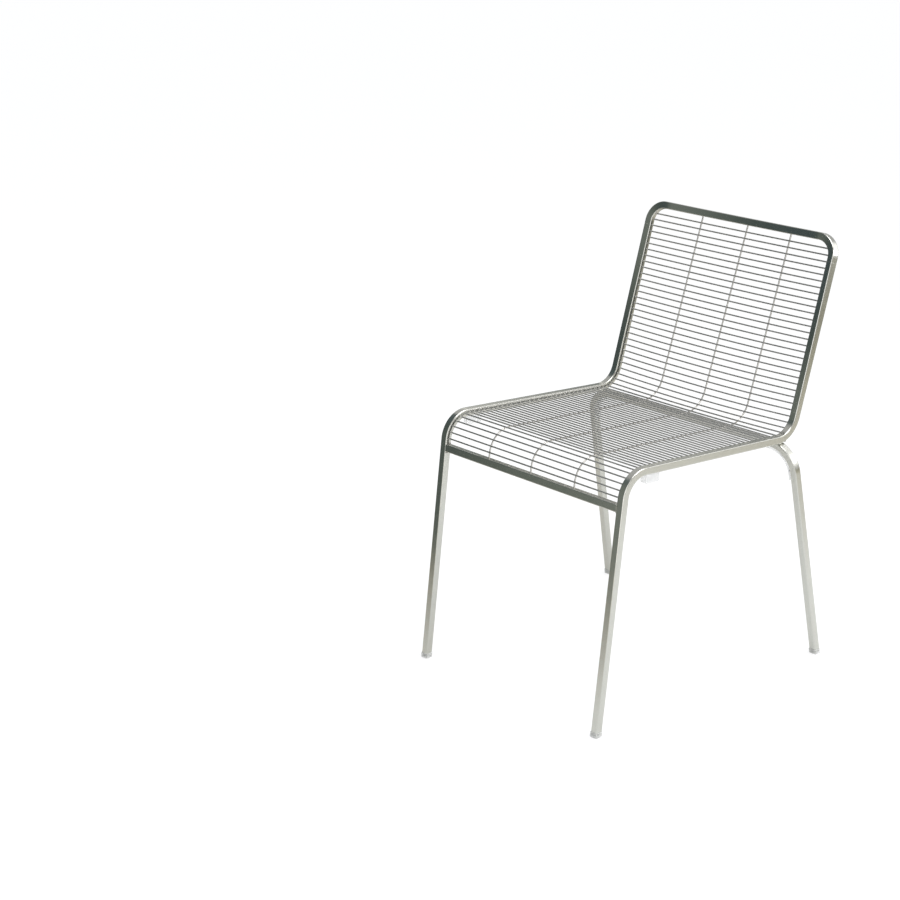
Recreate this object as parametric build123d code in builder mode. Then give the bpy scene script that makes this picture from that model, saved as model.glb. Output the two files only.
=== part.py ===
from build123d import *
import os
from math import sin, cos, tan, radians, sqrt, ceil

os.makedirs("parts", exist_ok=True)

# Outdoor stacking chair of welded square steel tube with a seat and back of thin cross rods.
# Millimetres. X is the width, the sitter faces -Y, Z is up and the floor is Z = 0.

# Tube of the frame
tube_size = 14.0
tube_wall = 1.5
tube_corner_radius = 1.8
bore_corner_radius = 0.8

# Side profile, along the face that the sitter touches
total_height = 800.0
seat_corner_height = 480.0
seat_run = 445.0
leg_lean = 7.24
seat_slope = 4.5
back_recline = 16.8
frame_half_width = 230.0
front_bend_outer_radius = 54.0
rear_bend_inner_radius = 42.0

# Top rail
rail_joint_drop = 50.0
rail_corner_radius = 35.0
rail_turn_radius = 60.0
rail_turn = 13.35
rail_straight = 1.0

# Front crossbar
crossbar_drop = 60.7

# Rear legs, one hoop
hoop_lean = 10.8
hoop_half_width = 259.0
hoop_foot_half_width = 276.0
hoop_bend_radius = 53.0
hoop_forward_shift = 3.8
hoop_lift = 2.28

# Rods and wires of the seat and back
rod_diameter = 3.0
rod_depth = 5.5
rod_pitch = 12.055
top_rod_drop = 26.5
lowest_rod_clear = 9.0
rod_end_clearance = 0.35
bend_bow = 5.7
bow_least = 0.05
wire_diameter = 3.0
edge_wire_diameter = 2.0
wire_touch_gap = 0.1
long_wire_spacing = 107.5

# Welds
tack_length = 6.0
tack_height = 2.3
tack_reach = 0.4
tack_toe = 1.2
tack_toe_height = 0.9
tack_root = 0.5
tack_root_reach = 0.5
tack_every_rods = 3
hoop_weld_radius = 3.0
hoop_weld_inset = 0.5
crossbar_weld_leg = 2.6

# Plastic pieces
block_length = 34.0
block_height = 16.0
block_width = 13.0
block_start = 52.0
block_corner_radius = 4.0
block_peg_diameter = 6.0
block_peg_length = 4.5
peg_clearance = 0.1
protector_thickness = 5.0
protector_width = 13.0
protector_edge_radius = 1.0
protector_bar_length = 12.0
protector_leg_length = 14.0
rivet_diameter = 3.0
rivet_head_diameter = 5.6
rivet_head_height = 1.2
rivet_tail = 1.5
rivet_first_angle = 39.0
rivet_second_angle = 84.0
rivet_clearance = 0.1
glide_wall = 1.25
glide_clearance = 0.05
glide_height = 10.0
glide_floor = 3.0
glide_corner_radius = 2.4
glide_plug_height = 24.0
glide_plug_clearance = 0.1
leg_overrun = 20.0

# Values that follow from the sizes above
half_tube = tube_size / 2
bore_size = tube_size - 2 * tube_wall
tube_x = frame_half_width - half_tube
inner_x = frame_half_width - tube_size
rod_radius = rod_diameter / 2
wire_radius = wire_diameter / 2
wire_depth = rod_depth + rod_radius + wire_radius + wire_touch_gap
edge_wire_radius = edge_wire_diameter / 2
edge_wire_x = inner_x - edge_wire_radius
rod_end_x = inner_x - edge_wire_diameter

leg_up = Vector(0, sin(radians(leg_lean)), cos(radians(leg_lean)))
seat_back = Vector(0, cos(radians(seat_slope)), -sin(radians(seat_slope)))
back_up = Vector(0, sin(radians(back_recline)), cos(radians(back_recline)))
hoop_up = Vector(0, -sin(radians(hoop_lean)), cos(radians(hoop_lean)))


def behind(direction):
    """Unit direction that points from the sitter's face into the tube."""
    return Vector(0, direction.Z, -direction.Y)


leg_in = behind(leg_up)
seat_in = behind(seat_back)
back_in = behind(back_up)
hoop_rear = Vector(0, hoop_up.Z, -hoop_up.Y)

# Overall depth, so that the middle of the chair lies on Y = 0
foot_reach = seat_corner_height * tan(radians(leg_lean)) + glide_wall / cos(radians(leg_lean))
rear_corner_height = seat_corner_height - seat_run * tan(radians(seat_slope))
back_height = total_height - rear_corner_height
rounding_share = sin(radians(back_recline)) + cos(radians(back_recline)) - 1

# Bow of the top rail: it turns back at both corners and comes round in one long arc
turn_half = tan(radians(rail_turn / 2))
turn_x = tube_x - rail_corner_radius - rail_turn_radius * turn_half - rail_straight
apex_depth = turn_x * tan(radians(rail_turn))
slant_length = turn_x / cos(radians(rail_turn))
arc_length = slant_length - rail_turn_radius * turn_half - rail_straight
rail_arc_radius = arc_length / tan(radians(rail_turn))
rail_bow = apex_depth - rail_arc_radius * (1 / cos(radians(rail_turn)) - 1)

rear_reach = seat_run + back_height * tan(radians(back_recline))
rear_reach += (tube_size + rail_bow) * cos(radians(back_recline)) - tube_corner_radius * rounding_share
front_corner_y = (foot_reach - rear_reach) / 2

seat_corner = Vector(0, front_corner_y, seat_corner_height)
rear_corner = Vector(0, front_corner_y + seat_run, rear_corner_height)
back_top = rear_corner + back_up * (back_height / cos(radians(back_recline)))


def meet(corner, first_in, second_in, depth):
    """Corner of two lines moved the same depth along their own directions."""
    return corner + (first_in + second_in) * (depth / (1 + first_in.dot(second_in)))


def bowed(depth, x):
    """How far an arc across the inner width stands back at x when its middle stands back by depth."""
    radius = (inner_x ** 2 + depth ** 2) / (2 * depth)
    return sqrt(radius ** 2 - x ** 2) - (radius - depth)


def side_points(start, depth, x):
    """Leg, seat corner, rear corner and top of the side line at a depth and a width position."""
    top = back_top + back_in * (depth + bowed(rail_bow, x))
    rear = meet(rear_corner, seat_in, back_in, depth) + seat_back * bowed(bend_bow, x)
    front = meet(seat_corner, leg_in, seat_in, depth)
    low = seat_corner - leg_up * start + leg_in * depth
    return [(p.Y, p.Z) for p in (low, front, rear, top)]


def side_radii(depth):
    """Front and rear bend radii of the side line at a depth."""
    return [front_bend_outer_radius - depth, rear_bend_inner_radius + depth]


def tube_outline():
    """Outer outline of the square tube."""
    RectangleRounded(tube_size, tube_size, tube_corner_radius)


def tube_ring():
    """Wall of the square tube."""
    RectangleRounded(tube_size, tube_size, tube_corner_radius)
    RectangleRounded(bore_size, bore_size, bore_corner_radius, mode=Mode.SUBTRACT)


leg_length = seat_corner_height / cos(radians(leg_lean)) + leg_overrun
floor_cut = Plane.XY.offset(glide_floor)
side_plane = Plane(origin=(tube_x, 0, 0), x_dir=(0, 1, 0), z_dir=(1, 0, 0))
back_plane = Plane(origin=back_top, x_dir=(1, 0, 0), z_dir=-back_in)
rail_under = Plane(origin=back_top - back_up * tube_size, x_dir=(1, 0, 0), z_dir=back_up)
joint_cut = Plane(origin=back_top - back_up * rail_joint_drop, x_dir=(1, 0, 0), z_dir=back_up)
block_middle = seat_corner + seat_back * (block_start + block_length / 2) + seat_in * tube_size
block_plane = Plane(origin=(tube_x, block_middle.Y, block_middle.Z), x_dir=seat_back, z_dir=(1, 0, 0))
peg_plane = Plane(origin=(tube_x, block_middle.Y, block_middle.Z), x_dir=(1, 0, 0), z_dir=-seat_in)

with BuildPart() as side_tube_right:
    with BuildLine(side_plane) as side_path:
        FilletPolyline(*side_points(leg_length, half_tube, inner_x), radius=side_radii(half_tube))
    with BuildSketch(Plane(origin=side_path.line @ 0, x_dir=(1, 0, 0), z_dir=side_path.line % 0)):
        tube_ring()
    sweep()
    split(bisect_by=floor_cut, keep=Keep.TOP)
    split(bisect_by=joint_cut, keep=Keep.BOTTOM)
    with BuildSketch(peg_plane):
        Circle(block_peg_diameter / 2 + peg_clearance)
    extrude(amount=tube_wall + block_peg_length, both=True, mode=Mode.SUBTRACT)

with BuildPart() as side_tube_left:
    mirror(side_tube_right.part, about=Plane.YZ)

# Solid outline of one side tube, used to shape the welds
with BuildPart() as side_solid:
    with BuildLine(side_plane) as side_solid_path:
        FilletPolyline(*side_points(leg_length, half_tube, inner_x), radius=side_radii(half_tube))
    with BuildSketch(Plane(origin=side_solid_path.line @ 0, x_dir=(1, 0, 0), z_dir=side_solid_path.line % 0)):
        tube_outline()
    sweep()

rail_points = [
    (-tube_x, -rail_joint_drop, -half_tube),
    (-tube_x, -half_tube, -half_tube),
    (-turn_x, -half_tube, -half_tube),
    (0, -half_tube, -half_tube - apex_depth),
    (turn_x, -half_tube, -half_tube),
    (tube_x, -half_tube, -half_tube),
    (tube_x, -rail_joint_drop, -half_tube),
]
rail_radii = [rail_corner_radius, rail_turn_radius, rail_arc_radius, rail_turn_radius, rail_corner_radius]

with BuildPart() as top_rail:
    with BuildLine(back_plane) as rail_path:
        FilletPolyline(*rail_points, radius=rail_radii)
    with BuildSketch(Plane(origin=rail_path.line @ 0, x_dir=(1, 0, 0), z_dir=rail_path.line % 0)):
        tube_ring()
    sweep()

crossbar_middle = seat_corner - leg_up * (crossbar_drop + half_tube) + leg_in * half_tube

with BuildPart() as front_crossbar:
    with BuildSketch(Plane(origin=crossbar_middle, x_dir=leg_in, z_dir=(1, 0, 0))):
        tube_ring()
    extrude(amount=inner_x, both=True)

# Rear legs: the bar lies under both rear bends and the two legs splay out to the floor
bend_middle = meet(rear_corner, seat_in, back_in, -rear_bend_inner_radius)
bend_under = bend_middle - hoop_up * (rear_bend_inner_radius + tube_size)
bar_middle = bend_under - hoop_up * (half_tube - hoop_lift) - hoop_rear * hoop_forward_shift
hoop_plane = Plane(origin=bar_middle, x_dir=(1, 0, 0), z_dir=-hoop_rear)
hoop_drop = bar_middle.Z / cos(radians(hoop_lean))
hoop_corner_x = hoop_half_width - half_tube
hoop_foot_x = hoop_foot_half_width - half_tube
splay_length = sqrt((hoop_foot_x - hoop_corner_x) ** 2 + hoop_drop ** 2)
splay_sin = (hoop_foot_x - hoop_corner_x) / splay_length
splay_cos = hoop_drop / splay_length


def hoop_corner(depth):
    """Corner of the bar and the right leg, moved inward by a depth, in the plane of the hoop."""
    bar_in = Vector(0, -1, 0)
    leg_side_in = Vector(-splay_cos, -splay_sin, 0)
    return meet(Vector(hoop_corner_x, 0, 0), bar_in, leg_side_in, depth)


low_x = hoop_foot_x + leg_overrun * splay_sin
low_y = -hoop_drop - leg_overrun * splay_cos
hoop_points = [(-low_x, low_y), (-hoop_corner_x, 0), (hoop_corner_x, 0), (low_x, low_y)]
hoop_bend = hoop_corner(hoop_bend_radius)


def on_bend(radius, angle):
    """Point of the right bend of the hoop at a radius and an angle from its top."""
    return hoop_bend + Vector(sin(radians(angle)), cos(radians(angle)), 0) * radius


def rivet_plane(radius, angle):
    """Plane across a rivet at a radius of the right bend, facing outward."""
    start = hoop_plane.from_local_coords(on_bend(radius, angle))
    ahead = hoop_plane.from_local_coords(on_bend(radius + tube_size, angle))
    return Plane(origin=start, x_dir=hoop_rear, z_dir=ahead - start)


strip_inner_radius = hoop_bend_radius - half_tube - protector_thickness
rivet_angles = [rivet_first_angle, rivet_second_angle]

with BuildPart() as hoop_solid:
    with BuildLine(hoop_plane) as hoop_solid_path:
        FilletPolyline(*hoop_points, radius=hoop_bend_radius)
    with BuildSketch(Plane(origin=hoop_solid_path.line @ 0, x_dir=hoop_rear, z_dir=hoop_solid_path.line % 0)):
        tube_outline()
    sweep()

with BuildPart() as rear_leg_hoop:
    with BuildLine(hoop_plane) as hoop_path:
        FilletPolyline(*hoop_points, radius=hoop_bend_radius)
    with BuildSketch(Plane(origin=hoop_path.line @ 0, x_dir=hoop_rear, z_dir=hoop_path.line % 0)):
        tube_ring()
    sweep()
    split(bisect_by=floor_cut, keep=Keep.TOP)
    for angle in rivet_angles:
        with BuildSketch(rivet_plane(strip_inner_radius, angle)) as rivet_hole:
            Circle(rivet_diameter / 2 + rivet_clearance)
        extrude(amount=protector_thickness + tube_wall + rivet_tail, mode=Mode.SUBTRACT)
        mirrored_hole = rivet_plane(strip_inner_radius, angle)
        hole_origin = Vector(-mirrored_hole.origin.X, mirrored_hole.origin.Y, mirrored_hole.origin.Z)
        hole_axis = Vector(-mirrored_hole.z_dir.X, mirrored_hole.z_dir.Y, mirrored_hole.z_dir.Z)
        with BuildSketch(Plane(origin=hole_origin, x_dir=hoop_rear, z_dir=hole_axis)):
            Circle(rivet_diameter / 2 + rivet_clearance)
        extrude(amount=protector_thickness + tube_wall + rivet_tail, mode=Mode.SUBTRACT)

# Wires along the seat and back, behind the rods
with BuildPart() as long_wire_centre:
    with BuildLine(Plane.YZ) as centre_wire_path:
        FilletPolyline(*side_points(crossbar_drop, wire_depth, 0), radius=side_radii(wire_depth))
    with BuildSketch(Plane(origin=centre_wire_path.line @ 0, z_dir=centre_wire_path.line % 0)):
        Circle(wire_radius)
    sweep()
    split(bisect_by=rail_under, keep=Keep.BOTTOM)

with BuildPart() as long_wire_right:
    with BuildLine(Plane.YZ.offset(long_wire_spacing)) as right_wire_path:
        FilletPolyline(
            *side_points(crossbar_drop, wire_depth, long_wire_spacing), radius=side_radii(wire_depth)
        )
    with BuildSketch(Plane(origin=right_wire_path.line @ 0, z_dir=right_wire_path.line % 0)):
        Circle(wire_radius)
    sweep()
    split(bisect_by=rail_under, keep=Keep.BOTTOM)

with BuildPart() as long_wire_left:
    mirror(long_wire_right.part, about=Plane.YZ)

edge_wire_top = back_top - back_up * (half_tube + rail_corner_radius)

with BuildPart() as edge_wire_right:
    with BuildLine(Plane.YZ.offset(edge_wire_x)) as edge_path:
        FilletPolyline(*side_points(crossbar_drop, rod_depth, edge_wire_x), radius=side_radii(rod_depth))
    with BuildSketch(Plane(origin=edge_path.line @ 0, z_dir=edge_path.line % 0)):
        Circle(edge_wire_radius)
    sweep()
    split(bisect_by=Plane(origin=edge_wire_top, x_dir=(1, 0, 0), z_dir=back_up), keep=Keep.BOTTOM)

with BuildPart() as edge_wire_left:
    mirror(edge_wire_right.part, about=Plane.YZ)

# Cross rods: even steps along the side line, counted down from the top
with BuildLine(Plane.YZ) as rod_side:
    FilletPolyline(*side_points(crossbar_drop, rod_depth, inner_x), radius=side_radii(rod_depth))

with BuildLine(Plane.YZ) as rod_centre:
    FilletPolyline(*side_points(crossbar_drop, rod_depth, 0), radius=side_radii(rod_depth))

front_turn = radians(90 - leg_lean + seat_slope)
rear_turn = radians(90 - back_recline + seat_slope)
side_wire = rod_side.wire()
centre_wire = rod_centre.wire()
side_length = side_wire.length
centre_length = centre_wire.length
front_radius, rear_radius = side_radii(rod_depth)
low_point, front_point, rear_point, top_point = [Vector(0, y, z) for y, z in side_points(0, rod_depth, inner_x)]
back_straight = (top_point - rear_point).length - rear_radius * tan(rear_turn / 2)
rear_bend_end = side_length - back_straight
rear_bend_start = rear_bend_end - rear_radius * rear_turn
seat_straight = (rear_point - front_point).length - rear_radius * tan(rear_turn / 2)
seat_straight -= front_radius * tan(front_turn / 2)
seat_start = rear_bend_start - seat_straight
rod_count = int((side_length - top_rod_drop - lowest_rod_clear) / rod_pitch) + 1
rod_steps = [side_length - top_rod_drop - rod_pitch * step for step in range(rod_count)]
centre_ratio = (centre_length - rear_bend_start) / (side_length - rear_bend_start)


def rod_end(step):
    """Middle of a rod at its ends."""
    return side_wire.position_at(step, position_mode=PositionMode.LENGTH)


def rod_middle(step):
    """Middle of a rod half-way across the chair."""
    along = rear_bend_start + (step - rear_bend_start) * centre_ratio
    return centre_wire.position_at(along, position_mode=PositionMode.LENGTH)


front_steps = [step for step in rod_steps if step < seat_start]
seat_steps = [step for step in rod_steps if seat_start <= step < rear_bend_start]
bend_steps = [step for step in rod_steps if rear_bend_start <= step < rear_bend_end]
back_steps = [step for step in rod_steps if step >= rear_bend_end]
corner_inner_radius = rail_corner_radius - half_tube
corner_middle_x = tube_x - rail_corner_radius
corner_middle_drop = half_tube + rail_corner_radius


def half_length(step):
    """Half length of a rod: short of the side tube, or of the round top corner near the rail."""
    into_corner = corner_middle_drop - (side_length - step) + rod_radius
    if into_corner <= 0:
        return rod_end_x - rod_end_clearance
    into_corner_x = corner_middle_x + sqrt(corner_inner_radius ** 2 - into_corner ** 2)
    return min(rod_end_x, into_corner_x) - rod_end_clearance


def bowed_points(step):
    """Left end, middle and right end of a bowed rod."""
    half = half_length(step)
    end = rod_end(step)
    shift = rod_middle(step) - end
    tip = end + shift * (1 - (half / inner_x) ** 2)
    return (-half, tip.Y, tip.Z), (0, end.Y + shift.Y, end.Z + shift.Z), (half, tip.Y, tip.Z)


with BuildPart() as front_bend_rods:
    for step in front_steps:
        with Locations(rod_end(step)):
            Cylinder(rod_radius, 2 * rod_end_x, rotation=(0, 90, 0))

with BuildPart() as seat_rods:
    for step in seat_steps:
        with Locations(rod_end(step)):
            Cylinder(rod_radius, 2 * rod_end_x, rotation=(0, 90, 0))

with BuildPart() as rear_bend_rods:
    for step in bend_steps:
        if (rod_middle(step) - rod_end(step)).length < bow_least:
            with Locations(rod_end(step)):
                Cylinder(rod_radius, 2 * rod_end_x, rotation=(0, 90, 0))
        else:
            with BuildLine() as bend_rod_path:
                ThreePointArc(*bowed_points(step))
            with BuildSketch(Plane(origin=bend_rod_path.line @ 0, z_dir=bend_rod_path.line % 0)):
                Circle(rod_radius)
            sweep()

with BuildPart() as back_rods:
    for step in back_steps:
        with BuildLine() as back_rod_path:
            ThreePointArc(*bowed_points(step))
        with BuildSketch(Plane(origin=back_rod_path.line @ 0, z_dir=back_rod_path.line % 0)):
            Circle(rod_radius)
        sweep()

# Tack welds between the edge wires and the side tubes, half-way between two rods
tack_pitch = rod_pitch * tack_every_rods
tack_count = int((side_length - 2 * top_rod_drop) / tack_pitch)

tack_outline = [
    (edge_wire_radius, tack_root),
    (edge_wire_radius, tack_height),
    (-tack_reach, tack_height),
    (-tack_toe, tack_toe_height),
    (-tack_root_reach, tack_root),
]

with BuildPart() as tacks_right:
    for number in range(tack_count):
        step = side_length - top_rod_drop - rod_pitch * 2.5 - tack_pitch * number
        tack_axis = side_wire.tangent_at(step, position_mode=PositionMode.LENGTH)
        tack_at = rod_end(step)
        with BuildSketch(Plane(origin=(edge_wire_x, tack_at.Y, tack_at.Z), x_dir=(1, 0, 0), z_dir=tack_axis)):
            with BuildLine():
                Polyline(*tack_outline, close=True)
            make_face()
        extrude(amount=tack_length / 2, both=True)
    add(edge_wire_right.part, mode=Mode.SUBTRACT)

with BuildPart() as edge_wire_tacks:
    add(tacks_right.part)
    mirror(tacks_right.part, about=Plane.YZ)

# Welds between the rear bends and the hoop, along its front and rear top edges
front_bead_at = bar_middle + hoop_up * half_tube - hoop_rear * half_tube
rear_bead_at = bar_middle + hoop_up * half_tube + hoop_rear * half_tube
weld_start_x = inner_x + hoop_weld_inset

with BuildPart() as hoop_welds_right:
    for bead_at in (front_bead_at, rear_bead_at):
        with BuildSketch(Plane.YZ.offset(weld_start_x)):
            with Locations((bead_at.Y, bead_at.Z)):
                Circle(hoop_weld_radius)
        extrude(amount=tube_size - 2 * hoop_weld_inset)
    add(side_solid.part, mode=Mode.SUBTRACT)
    add(hoop_solid.part, mode=Mode.SUBTRACT)

with BuildPart() as hoop_welds:
    add(hoop_welds_right.part)
    mirror(hoop_welds_right.part, about=Plane.YZ)

# Fillet welds above and below both ends of the crossbar, the upper one beside the edge wire's end
bar_top = crossbar_middle + leg_up * half_tube
bar_bottom = crossbar_middle - leg_up * half_tube
weld_run = half_tube - tube_corner_radius
top_weld_plane = Plane(origin=(inner_x, bar_top.Y, bar_top.Z), x_dir=(-1, 0, 0), z_dir=leg_in)
bottom_weld_plane = Plane(origin=(inner_x, bar_bottom.Y, bar_bottom.Z), x_dir=(-1, 0, 0), z_dir=-leg_in)

with BuildPart() as crossbar_welds_right:
    with BuildSketch(top_weld_plane):
        with BuildLine():
            Polyline((0, 0), (crossbar_weld_leg, 0), (0, crossbar_weld_leg), close=True)
        make_face()
    extrude(amount=weld_run)
    with BuildSketch(bottom_weld_plane):
        with BuildLine():
            Polyline((0, 0), (crossbar_weld_leg, 0), (0, crossbar_weld_leg), close=True)
        make_face()
    extrude(amount=weld_run, both=True)

with BuildPart() as crossbar_welds:
    add(crossbar_welds_right.part)
    mirror(crossbar_welds_right.part, about=Plane.YZ)

# Stacking blocks under the side rails, each held by a peg in the tube
with BuildPart() as stacking_block_right:
    with BuildSketch(block_plane):
        with Locations((0, -block_height / 2)):
            Rectangle(block_length, block_height)
    extrude(amount=block_width / 2, both=True)
    low_edges = stacking_block_right.edges().filter_by(Axis.X).sort_by(Axis.Z)[0:2]
    fillet(low_edges, block_corner_radius)
    with BuildSketch(peg_plane):
        Circle(block_peg_diameter / 2)
    extrude(amount=block_peg_length)

with BuildPart() as stacking_block_left:
    mirror(stacking_block_right.part, about=Plane.YZ)

# Curved protectors inside the hoop bends
strip_depth = half_tube + protector_thickness / 2
strip_corner = hoop_corner(strip_depth)
strip_radius = hoop_bend_radius - strip_depth
leg_along = Vector(splay_sin, -splay_cos, 0)
strip_start_x = hoop_bend.X - protector_bar_length
bend_low = hoop_bend + Vector(splay_cos, splay_sin, 0) * strip_radius
strip_end = bend_low + leg_along * protector_leg_length

with BuildPart() as rear_protector_right:
    with BuildLine(hoop_plane) as strip_path:
        FilletPolyline(
            (strip_start_x, -strip_depth),
            (strip_corner.X, strip_corner.Y),
            (strip_end.X, strip_end.Y),
            radius=strip_radius,
        )
    with BuildSketch(Plane(origin=strip_path.line @ 0, x_dir=hoop_rear, z_dir=strip_path.line % 0)):
        RectangleRounded(protector_width, protector_thickness, protector_edge_radius)
    sweep()
    for angle in rivet_angles:
        with BuildSketch(rivet_plane(strip_inner_radius - rivet_head_height, angle)):
            Circle(rivet_diameter / 2 + rivet_clearance)
        extrude(amount=protector_thickness + tube_wall + rivet_tail, mode=Mode.SUBTRACT)

with BuildPart() as rear_protector_left:
    mirror(rear_protector_right.part, about=Plane.YZ)

with BuildPart() as rivets_right:
    for angle in rivet_angles:
        with BuildSketch(rivet_plane(strip_inner_radius - rivet_head_height, angle)):
            Circle(rivet_head_diameter / 2)
        extrude(amount=rivet_head_height)
        with BuildSketch(rivet_plane(strip_inner_radius, angle)):
            Circle(rivet_diameter / 2)
        extrude(amount=protector_thickness + tube_wall + rivet_tail)

with BuildPart() as protector_rivets:
    add(rivets_right.part)
    mirror(rivets_right.part, about=Plane.YZ)

# Foot glides: a square cap under each tube with a plug inside it
front_foot = seat_corner - leg_up * (seat_corner_height / cos(radians(leg_lean))) + leg_in * half_tube
front_foot_plane = Plane(origin=(tube_x, front_foot.Y, front_foot.Z), x_dir=(1, 0, 0), z_dir=leg_up)
rear_foot = hoop_plane.from_local_coords(Vector(hoop_foot_x, -hoop_drop, 0))
rear_foot_above = hoop_plane.from_local_coords(Vector(hoop_foot_x - splay_sin, -hoop_drop + splay_cos, 0))
rear_foot_plane = Plane(origin=rear_foot, x_dir=hoop_rear, z_dir=rear_foot_above - rear_foot)
cap_size = tube_size + 2 * glide_wall
pocket_size = tube_size + 2 * glide_clearance
plug_size = bore_size - 2 * glide_plug_clearance
glide_cut = Plane.XY.offset(glide_height)

with BuildPart() as front_pocket:
    with BuildSketch(front_foot_plane):
        RectangleRounded(pocket_size, pocket_size, tube_corner_radius)
    extrude(amount=leg_overrun, both=True)
    split(bisect_by=floor_cut, keep=Keep.TOP)

with BuildPart() as rear_pocket:
    with BuildSketch(rear_foot_plane):
        RectangleRounded(pocket_size, pocket_size, tube_corner_radius)
    extrude(amount=leg_overrun, both=True)
    split(bisect_by=floor_cut, keep=Keep.TOP)

with BuildPart() as front_plug:
    with BuildSketch(front_foot_plane):
        RectangleRounded(plug_size, plug_size, bore_corner_radius)
    extrude(amount=glide_plug_height)
    split(bisect_by=floor_cut, keep=Keep.TOP)

with BuildPart() as rear_plug:
    with BuildSketch(rear_foot_plane):
        RectangleRounded(plug_size, plug_size, bore_corner_radius)
    extrude(amount=glide_plug_height)
    split(bisect_by=floor_cut, keep=Keep.TOP)

with BuildPart() as foot_glide_front_right:
    with BuildSketch(front_foot_plane):
        RectangleRounded(cap_size, cap_size, glide_corner_radius)
    extrude(amount=leg_overrun, both=True)
    split(bisect_by=Plane.XY, keep=Keep.TOP)
    split(bisect_by=glide_cut, keep=Keep.BOTTOM)
    add(front_pocket.part, mode=Mode.SUBTRACT)
    add(front_plug.part)

with BuildPart() as foot_glide_front_left:
    mirror(foot_glide_front_right.part, about=Plane.YZ)

with BuildPart() as foot_glide_rear_right:
    with BuildSketch(rear_foot_plane):
        RectangleRounded(cap_size, cap_size, glide_corner_radius)
    extrude(amount=leg_overrun, both=True)
    split(bisect_by=Plane.XY, keep=Keep.TOP)
    split(bisect_by=glide_cut, keep=Keep.BOTTOM)
    add(rear_pocket.part, mode=Mode.SUBTRACT)
    add(rear_plug.part)

with BuildPart() as foot_glide_rear_left:
    mirror(foot_glide_rear_right.part, about=Plane.YZ)

side_tube_right.part.label = "side_tube_right"
side_tube_left.part.label = "side_tube_left"
top_rail.part.label = "top_rail"
front_crossbar.part.label = "front_crossbar"
rear_leg_hoop.part.label = "rear_leg_hoop"
long_wire_left.part.label = "long_wire_left"
long_wire_centre.part.label = "long_wire_centre"
long_wire_right.part.label = "long_wire_right"
edge_wire_left.part.label = "edge_wire_left"
edge_wire_right.part.label = "edge_wire_right"
front_bend_rods.part.label = "front_bend_rods"
seat_rods.part.label = "seat_rods"
rear_bend_rods.part.label = "rear_bend_rods"
back_rods.part.label = "back_rods"
edge_wire_tacks.part.label = "edge_wire_tacks"
hoop_welds.part.label = "hoop_welds"
crossbar_welds.part.label = "crossbar_welds"
stacking_block_right.part.label = "stacking_block_right"
stacking_block_left.part.label = "stacking_block_left"
rear_protector_right.part.label = "rear_protector_right"
rear_protector_left.part.label = "rear_protector_left"
protector_rivets.part.label = "protector_rivets"
foot_glide_front_right.part.label = "foot_glide_front_right"
foot_glide_front_left.part.label = "foot_glide_front_left"
foot_glide_rear_right.part.label = "foot_glide_rear_right"
foot_glide_rear_left.part.label = "foot_glide_rear_left"

export_step(side_tube_right.part, "parts/side_tube_right.step")
export_step(side_tube_left.part, "parts/side_tube_left.step")
export_step(top_rail.part, "parts/top_rail.step")
export_step(front_crossbar.part, "parts/front_crossbar.step")
export_step(rear_leg_hoop.part, "parts/rear_leg_hoop.step")
export_step(long_wire_left.part, "parts/long_wire_left.step")
export_step(long_wire_centre.part, "parts/long_wire_centre.step")
export_step(long_wire_right.part, "parts/long_wire_right.step")
export_step(edge_wire_left.part, "parts/edge_wire_left.step")
export_step(edge_wire_right.part, "parts/edge_wire_right.step")
export_step(front_bend_rods.part, "parts/front_bend_rods.step")
export_step(seat_rods.part, "parts/seat_rods.step")
export_step(rear_bend_rods.part, "parts/rear_bend_rods.step")
export_step(back_rods.part, "parts/back_rods.step")
export_step(edge_wire_tacks.part, "parts/edge_wire_tacks.step")
export_step(hoop_welds.part, "parts/hoop_welds.step")
export_step(crossbar_welds.part, "parts/crossbar_welds.step")
export_step(stacking_block_right.part, "parts/stacking_block_right.step")
export_step(stacking_block_left.part, "parts/stacking_block_left.step")
export_step(rear_protector_right.part, "parts/rear_protector_right.step")
export_step(rear_protector_left.part, "parts/rear_protector_left.step")
export_step(protector_rivets.part, "parts/protector_rivets.step")
export_step(foot_glide_front_right.part, "parts/foot_glide_front_right.step")
export_step(foot_glide_front_left.part, "parts/foot_glide_front_left.step")
export_step(foot_glide_rear_right.part, "parts/foot_glide_rear_right.step")
export_step(foot_glide_rear_left.part, "parts/foot_glide_rear_left.step")
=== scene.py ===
"""Outdoor stacking chair of square steel tube with a seat and back of thin cross rods."""

import math

import bpy
import numpy as np
from mathutils import Matrix, Vector


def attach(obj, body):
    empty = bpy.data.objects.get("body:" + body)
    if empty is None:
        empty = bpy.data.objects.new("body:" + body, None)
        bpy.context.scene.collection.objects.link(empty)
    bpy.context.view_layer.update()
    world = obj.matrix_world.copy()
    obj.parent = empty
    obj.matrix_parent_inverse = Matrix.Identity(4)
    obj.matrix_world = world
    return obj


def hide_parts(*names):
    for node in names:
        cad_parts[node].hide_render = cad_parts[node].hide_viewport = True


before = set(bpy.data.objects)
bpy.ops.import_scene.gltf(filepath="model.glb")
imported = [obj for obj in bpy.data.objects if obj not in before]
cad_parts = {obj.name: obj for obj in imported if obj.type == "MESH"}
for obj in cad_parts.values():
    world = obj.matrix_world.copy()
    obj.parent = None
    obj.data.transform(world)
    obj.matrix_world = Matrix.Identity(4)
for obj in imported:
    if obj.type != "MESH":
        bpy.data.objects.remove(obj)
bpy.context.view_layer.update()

MM = 0.001

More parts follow.
